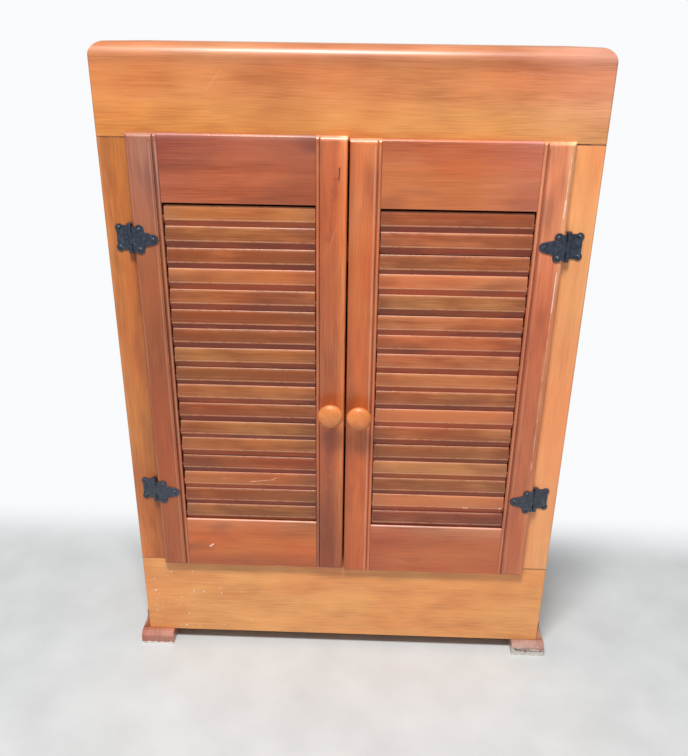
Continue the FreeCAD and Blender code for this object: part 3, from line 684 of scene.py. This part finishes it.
def louvreSlats(side, s, look):
    node = f"{side}_door_slats"
    low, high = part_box(node)
    pitch = (high.z - low.z - s["top"] - s["cadFoot"]) / (s["count"] - 1)
    dice, rises, tones = (random.Random(s[key][side]) for key in ("seed", "riseSeed", "toneSeed"))
    mesh = bmesh.new()
    layers = {key: mesh.verts.layers.float.new(key) for key in slatValues}
    shift = mesh.verts.layers.float_vector.new("slatShift")
    foot, inner = Vector(s["undercutFoot"]), Vector(s["innerFoot"])
    section = [(*foot, 0.0, s["footUnderShade"])]
    section += [(depth * mm, height * mm, *rest) for depth, height, *rest in slatFace]
    section.append((*inner, 0.0, 0.0))
    tilt = math.radians(s["tilt"])
    thick = Vector((math.cos(tilt), math.sin(tilt))) * s["stubThickness"] / 2
    wide = Vector((-math.sin(tilt), math.cos(tilt))) * s["stubWidth"] / 2
    corners = ((-1, -1), (-1, 1), (1, 1), (1, -1))
    # The tenons take the undercut's full painted shade, darkening the gaps at the slats' ends.
    stub = [(*((inner - foot) / 2 + a * thick + b * wide), 0.0, 1.0) for a, b in corners]
    gaps = [s["stubReach"] + s["endGap"][end] for end in ("hinge", "meeting")]
    if side == "right":
        gaps.reverse()
    for n in range(s["count"]):
        regular = low.z + s["cadFoot"] + n * pitch
        own = s["topRise"] if n else s["lowestRise"][side]
        if 0 < n < s["count"] - 1:
            own = rises.uniform(s["riseLeast"], s["riseMost"])
        lean = math.radians(dice.uniform(-1, 1) * s["turnSpread"])
        slide = dice.uniform(-1, 1) * s["slideSpread"]
        slatTone = tones.uniform(-1, 1) * s["toneSpread"]
        slatShift = [dice.uniform(-s["cutSpread"], s["cutSpread"]) for _ in range(3)]
        slatHue = dice.random()
        start, end = low.x + gaps[0] + slide, high.x - gaps[1] + slide
        body = (section, start, end, s["steps"], regular + own, math.sin(lean))
        tenons = (stub, low.x, high.x, 1, regular, 0.0)
        for outline, x0, x1, steps, rise, slope in (body, tenons):
            rings = []
            for k in range(steps + 1):
                x = x0 + (x1 - x0) * k / steps
                waver = dice.uniform(0, 1) * s["waver"]
                ring = []
                for depth, height, worn, under in outline:
                    z = rise + height + (x - (x0 + x1) / 2) * slope
                    vert = mesh.verts.new((x, low.y + depth + waver * worn, max(min(z, high.z), low.z)))
                    vert[layers["slatTone"]], vert[layers["slatEdge"]] = slatTone, worn
                    vert[layers["slatUnder"]], vert[layers["slatHue"]] = under, slatHue
                    vert[shift] = slatShift
                    ring.append(vert)
                rings.append(ring)
            for first, second in zip(rings, rings[1:]):
                for i in range(len(outline)):
                    mesh.faces.new([first[i - 1], first[i], second[i], second[i - 1]])
            mesh.faces.new(rings[0])
            mesh.faces.new(rings[-1][::-1])
    bmesh.ops.recalc_face_normals(mesh, faces=mesh.faces)
    for edge in mesh.edges:
        edge.smooth = edge.calc_face_angle() < math.radians(s["sharpAngle"])
    piece = meshObject(f"{side}_louvre_slats", mesh)
    piece.modifiers.new("normals", "WEIGHTED_NORMAL").keep_sharp = True
    setMaterial(piece, stainedPine(f"pine_stained_varnished_{side}_slats", s["pineSeed"][side], **look))
    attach(piece, f"{side}_door")
    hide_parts(node)


slatLook = {
    "perSlat": True,
    "cloudSize": 26 * mm,
    "cloudStretch": 2.4,
    "cloud": 1.3,
    "bandWidth": 6 * mm,
    "bandLength": 160 * mm,
    "smudge": 0.5,
    "wearColour": "#DDA07C",
    "coat": 0.05,
    "dirtAndShade": 0.25,
    "under": (0.88, 0.46, 0.20),  # painted shade on the undercut: darker and redder
    "reddest": (1.02, 0.92, 0.88),
    "yellowest": (0.97, 1.12, 1.0),
}
slatSides = {
    "left": {
        "stain": "#A86237",
        "fades": [across(-72, -46, "#8A5238", 0.4), across(-200, -226, "#8A5240", 0.35)],
        "marks": [((-133, slatPlane, 298), (-100, slatPlane, 302), 0.6, thinVarnish, 5, 0.2),
                  ((-102, slatPlane, 303), (-79.5, slatPlane, 311), 0.7, thinVarnish, 6, 0.3),
                  ((-173, slatPlane, 302), (-143, slatPlane, 306), 0.4, thinVarnish, 4, 0.1),
                  ((-133.8, slatPlane, 669), (-131, slatPlane, 668.6), 1.0, darkStain, 3, 0.5)],
    },
    "right": {
        "stain": "#B16B42",
        "fades": [across(72, 46, "#8A5238", 0.35), across(200, 226, "#8A5240", 0.3),
                  upward(259.5, 257.5, "#8A4234", 0.75)],  # its lowest slat took more stain
        "marks": [((172, slatPlane, 263.5), (178, slatPlane, 263.9), 0.9, rawWood, 3, 0.3),
                  ((223, slatPlane, 263.5), (225, slatPlane, 264.5), 1.0, rawWood, 3, 0.3)],
    },
}
for side, own in slatSides.items():
    louvreSlats(side, slatSettings, {**slatLook, **own})
print("louvre slats: two doors")


# A solid of revolution about an axis through centre, from (radius, height) points.
def lathe(name, outline, centre, axis, steps):
    mesh = bmesh.new()
    turn = Vector((0, 0, 1)).rotation_difference(Vector(axis)).to_matrix()
    rings = []
    for radius, height in outline:
        count = steps if radius else 1
        angles = [2 * math.pi * n / steps for n in range(count)]
        points = [Vector((radius * math.cos(a), radius * math.sin(a), height)) for a in angles]
        rings.append([mesh.verts.new(Vector(centre) + turn @ point) for point in points])
    for low, high in zip(rings, rings[1:]):
        for n in range(steps):
            below = [low[0]] if len(low) == 1 else [low[n - 1], low[n]]
            above = [high[0]] if len(high) == 1 else [high[n], high[n - 1]]
            mesh.faces.new(below + above)
    bmesh.ops.recalc_face_normals(mesh, faces=mesh.faces)
    return meshObject(name, mesh)


# Quarter curve between two (radius, height) points; it leaves the first one upright or level.
def quarter(start, end, upright, steps, power=1.0):
    points = []
    for n in range(1, steps + 1):
        turn = math.pi / 2 * n / steps
        fast, slow = math.sin(turn) ** power, 1 - math.cos(turn) ** power
        r, h = (slow, fast) if upright else (fast, slow)
        points.append((start[0] + (end[0] - start[0]) * r, start[1] + (end[1] - start[1]) * h))
    return points


knobSettings = {
    "radius": 17 * mm,
    "projection": 27 * mm,
    "foot": 7.5 * mm,
    "footThickness": 2 * mm,
    "footArris": 0.4 * mm,
    "neck": 6 * mm,
    "neckHeight": 8 * mm,
    "rimHeight": 18.5 * mm,
    "steps": 96,
    "curveSteps": 14,
    "domePower": 0.86,  # under 1 the dome is flatter than an ellipse
    "birchSeed": {"left": 44, "right": 45},
}
# Birch, turned and sanded, stained and varnished: end grain takes the stain in small clouds.
birchLook = {
    "stain": "#DB8648",
    "grain": "Y",
    "fibreWidth": 0.8 * mm,
    "cloudSize": 22 * mm,
    "cloud": 0.6,
    "smudge": 0.2,
    "coat": 0.2,
    "coatRoughness": 0.4,
}


def turnedKnob(side, s):
    node = f"{side}_door_knob"
    low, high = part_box(node)
    centre = ((low.x + high.x) / 2, high.y, (low.z + high.z) / 2)
    foot, neck = (s["foot"], s["footThickness"]), (s["neck"], s["neckHeight"])
    rim, crown = (s["radius"], s["rimHeight"]), (0, s["projection"])
    n = s["curveSteps"]
    outline = [(0, 0), (s["foot"] - s["footArris"], 0), (s["foot"], s["footArris"]), foot]
    outline += quarter(foot, neck, False, n) + quarter(neck, rim, True, n)
    outline += quarter(rim, crown, True, n, s["domePower"])[:-1] + [crown]
    knob = lathe(f"{side}_turned_knob", outline, centre, (0, -1, 0), s["steps"])
    setMaterial(knob, stainedPine(f"birch_turned_varnished_{side}_knob", s["birchSeed"][side], **birchLook))
    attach(knob, f"{side}_door")
    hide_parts(node)


for side in ("left", "right"):
    turnedKnob(side, knobSettings)
print("knobs")


screwSettings = {
    "radius": 2.6 * mm,
    "rise": 1.4 * mm,
    "slotWidth": 0.7 * mm,
    "slotDepth": 0.7 * mm,
    "rows": 7,  # on each side of the slot
    "rowPower": 0.7,  # under 1 the rows crowd towards the rim
    "columns": 14,
    "edgePower": 2.4,  # above 2 the head is flatter than a ball
    "weld": 0.002 * mm,
    "solidWeld": 0.01 * mm,
    "seed": 3,
}


# The boxes of the separate solids in a node.
def solidBoxes(node, weld):
    mesh = bmesh.new()
    mesh.from_mesh(nodes[node].data)
    bmesh.ops.remove_doubles(mesh, verts=mesh.verts, dist=weld)
    left, boxes = set(mesh.verts), []
    while left:
        found, edge = set(), [left.pop()]
        while edge:
            vert = edge.pop()
            found.add(vert)
            near = {e.other_vert(vert) for e in vert.link_edges} & left
            left -= near
            edge += near
        corners = [[f(v.co[i] for v in found) for i in range(3)] for f in (min, max)]
        boxes.append([Vector(c) for c in corners])
    mesh.free()
    return boxes


# Round screw heads with a cut slot, each stopped at another angle.
def screwHeads(node, body, material, s):
    dice = random.Random(s["seed"] + len(node))
    mesh = bmesh.new()
    half = s["slotWidth"] / 2
    side = [half + (s["radius"] - half) * (n / s["rows"]) ** s["rowPower"] for n in range(s["rows"] + 1)]
    rows = [(-v, False) for v in reversed(side)] + [(-half, True), (half, True)] + [(v, False) for v in side]
    for low, high in solidBoxes(node, s["solidWeld"]):
        middle = (low + high) / 2
        turn = dice.uniform(0, math.pi)
        grid = []
        for v, sunk in rows:
            reach = math.sqrt(max(0.0, s["radius"] ** 2 - v * v))
            line = []
            for k in range(s["columns"] + 1):
                u = reach * math.sin(math.pi / 2 * (2 * k / s["columns"] - 1))
                share = min(1.0, math.hypot(u, v) / s["radius"])
                rise = s["rise"] * (1 - share ** s["edgePower"]) - (s["slotDepth"] if sunk else 0.0)
                x = u * math.cos(turn) - v * math.sin(turn)
                z = u * math.sin(turn) + v * math.cos(turn)
                line.append(mesh.verts.new((middle.x + x, high.y - max(rise, 0.0), middle.z + z)))
            grid.append(line)
        for first, second in zip(grid, grid[1:]):
            for k in range(s["columns"]):
                mesh.faces.new([first[k], first[k + 1], second[k + 1], second[k]])
    bmesh.ops.remove_doubles(mesh, verts=mesh.verts, dist=s["weld"])
    bmesh.ops.recalc_face_normals(mesh, faces=mesh.faces)
    for face in mesh.faces:
        if face.normal.y > 0:
            face.normal_flip()
    piece = meshObject(node + "_round", mesh)
    piece.modifiers.new("normals", "WEIGHTED_NORMAL").keep_sharp = False
    setMaterial(piece, material)
    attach(piece, body)
    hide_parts(node)


# The screw heads have the same lacquer and no hammer marks worth seeing.
screwLook = {**ironLook, "bump": 0.05, "roughLow": 0.38, "roughHigh": 0.5}
iron = hammeredIron("iron_pressed_lacquered", ironLook)
screwIron = hammeredIron("iron_headed_lacquered", screwLook)
zinc = zincPlatedSteel("steel_zinc_plated", zincLook)
for side in ("left", "right"):
    for piece in ("frame_leaves", "door_leaves"):
        setMaterial(nodes[f"{side}_{piece}"], iron)
        softenEdges(nodes[f"{side}_{piece}"], arrisSettings["hinge"], 3)
    setMaterial(nodes[f"{side}_hinge_pins"], iron)
    screwHeads(f"{side}_frame_leaf_screws", "cabinet", screwIron, screwSettings)
    screwHeads(f"{side}_door_leaf_screws", f"{side}_door", screwIron, screwSettings)
    for piece in ("door_knob_screw", "door_catch_plate"):
        setMaterial(nodes[f"{side}_{piece}"], zinc)
        softenEdges(nodes[f"{side}_{piece}"], arrisSettings["screw"])
setMaterial(nodes["catch_poles"], zinc)
setMaterial(nodes["catch_body"], mouldedAbs("abs_moulded_brown", absLook))
softenEdges(nodes["catch_body"], arrisSettings["catch"], 3)
print("hinges and catch")


stageSettings = {
    "floor": "#CCD0D2",
    "floorSize": 40.0,  # metres
    # The floor turns into a white sweep behind the cabinet and far away on the other sides (mm).
    "sweeps": [((0, 130, 0), (0, 300, 0)), ((-750, 0, 0), (-1400, 0, 0)), ((750, 0, 0), (1400, 0, 0)),
               ((0, -900, 0), (0, -1600, 0))],
    "sweepStrength": 0.985,
    "mottle": 90 * mm,
    "mottleDark": (0.93, 0.93, 0.93),
    "mottleLight": (1.05, 1.05, 1.05),
    "roughLow": 0.5,
    "roughHigh": 0.8,
    "world": "#FBFCFE",
    "worldSeen": 0.985,
    "worldStrength": 0.36,
    "keyWidth": 0.85,  # metres
    "keyDepth": 0.38,
    "keySide": -0.08,
    "keyElevation": 65.0,  # degrees
    "keyDistance": 2.4,
    "keyTarget": (0.0, -0.09, 0.48),
    "keyPower": 76.0,
    "keyColour": "#FFFDFA",
}


# Concrete, trowelled and painted: a pale floor with faint cloudiness, and paper behind it.
def paleFloor(s):
    material, tree = newMaterial("concrete_trowelled_painted")
    stops = [(0.3, tinted(s["floor"], s["mottleDark"])), (0.7, tinted(s["floor"], s["mottleLight"]))]
    mottle, colour = flecks(tree, s["mottle"], 5.0, stops)
    rough = addNode(tree, "ShaderNodeMapRange", {"To Min": s["roughLow"], "To Max": s["roughHigh"]},
                    {"Value": mottle}).outputs[0]
    near = addNode(tree, "ShaderNodeBsdfPrincipled", links={"Base Color": colour, "Roughness": rough})
    paper = {"Color": hexToLinear(s["world"]), "Strength": s["sweepStrength"]}
    far = addNode(tree, "ShaderNodeEmission", paper)
    coords = addNode(tree, "ShaderNodeTexCoord").outputs["Object"]
    share = lineShare(tree, coords, *s["sweeps"][0])[0]
    for start, end in s["sweeps"][1:]:
        other = lineShare(tree, coords, start, end)[0]
        share = addNode(tree, "ShaderNodeMath", {"operation": "MAXIMUM"}, {0: share, 1: other}).outputs[0]
    seen = addNode(tree, "ShaderNodeLightPath").outputs["Is Camera Ray"]  # it lights nothing
    share = addNode(tree, "ShaderNodeMapRange", {"interpolation_type": "SMOOTHSTEP"},
                    {"Value": share, "To Max": seen}).outputs[0]
    both = {0: share, 1: near.outputs[0], 2: far.outputs[0]}
    finishMaterial(tree, addNode(tree, "ShaderNodeMixShader", links=both))
    return material


def studio(s):
    bpy.ops.mesh.primitive_plane_add(size=s["floorSize"])
    floor = bpy.context.object
    floor.name = "floor"
    floor.data.materials.append(paleFloor(s))

    world = bpy.data.worlds.new("studio")
    bpy.context.scene.world = world
    world.use_nodes = True
    tree = world.node_tree
    background = tree.nodes["Background"]
    background.inputs[0].default_value = hexToLinear(s["world"])
    seen = addNode(tree, "ShaderNodeLightPath").outputs["Is Camera Ray"]
    strength = addNode(tree, "ShaderNodeMapRange", {"To Min": s["worldStrength"], "To Max": s["worldSeen"]},
                       {"Value": seen}).outputs[0]
    tree.links.new(strength, background.inputs[1])

    data = bpy.data.lights.new("ceiling_strip", "AREA")
    data.shape = "RECTANGLE"
    data.size, data.size_y = s["keyWidth"], s["keyDepth"]
    data.energy = s["keyPower"]
    data.color = hexToLinear(s["keyColour"])[:3]
    key = bpy.data.objects.new("ceiling_strip", data)
    rise = math.radians(s["keyElevation"])
    target = Vector(s["keyTarget"])
    away = Vector((s["keySide"], -math.cos(rise), math.sin(rise)))
    key.location = target + away * s["keyDistance"]
    key.rotation_mode = "QUATERNION"
    key.rotation_quaternion = (target - key.location).to_track_quat("-Z", "Y")
    bpy.context.scene.collection.objects.link(key)


cameraSettings = {
    "place": (23.32, -1045.4, 881.4),  # mm
    "yaw": -1.53,  # degrees
    "pitch": 23.627,
    "roll": 0.795,
    "focalPixels": 777.64,
    "longSide": 756,
    "sensorWidth": 36.0,
}


def camera(s):
    yaw, pitch, roll = (math.radians(s[key]) for key in ("yaw", "pitch", "roll"))
    forward = Vector((math.sin(yaw) * math.cos(pitch), math.cos(yaw) * math.cos(pitch), -math.sin(pitch)))
    level = Vector((math.cos(yaw), -math.sin(yaw), 0))
    upright = level.cross(forward)
    right = level * math.cos(roll) + upright * math.sin(roll)
    up = upright * math.cos(roll) - level * math.sin(roll)
    data = bpy.data.cameras.new("camera")
    data.sensor_width = s["sensorWidth"]
    data.lens = s["focalPixels"] / s["longSide"] * data.sensor_width
    view = bpy.data.objects.new("camera", data)
    bpy.context.scene.collection.objects.link(view)
    turn = Matrix((right, up, -forward)).transposed()
    view.matrix_world = Matrix.Translation(Vector(s["place"]) * mm) @ turn.to_4x4()
    bpy.context.scene.camera = view


studio(stageSettings)
camera(cameraSettings)
bpy.context.scene.view_settings.view_transform = "Standard"
print("studio")
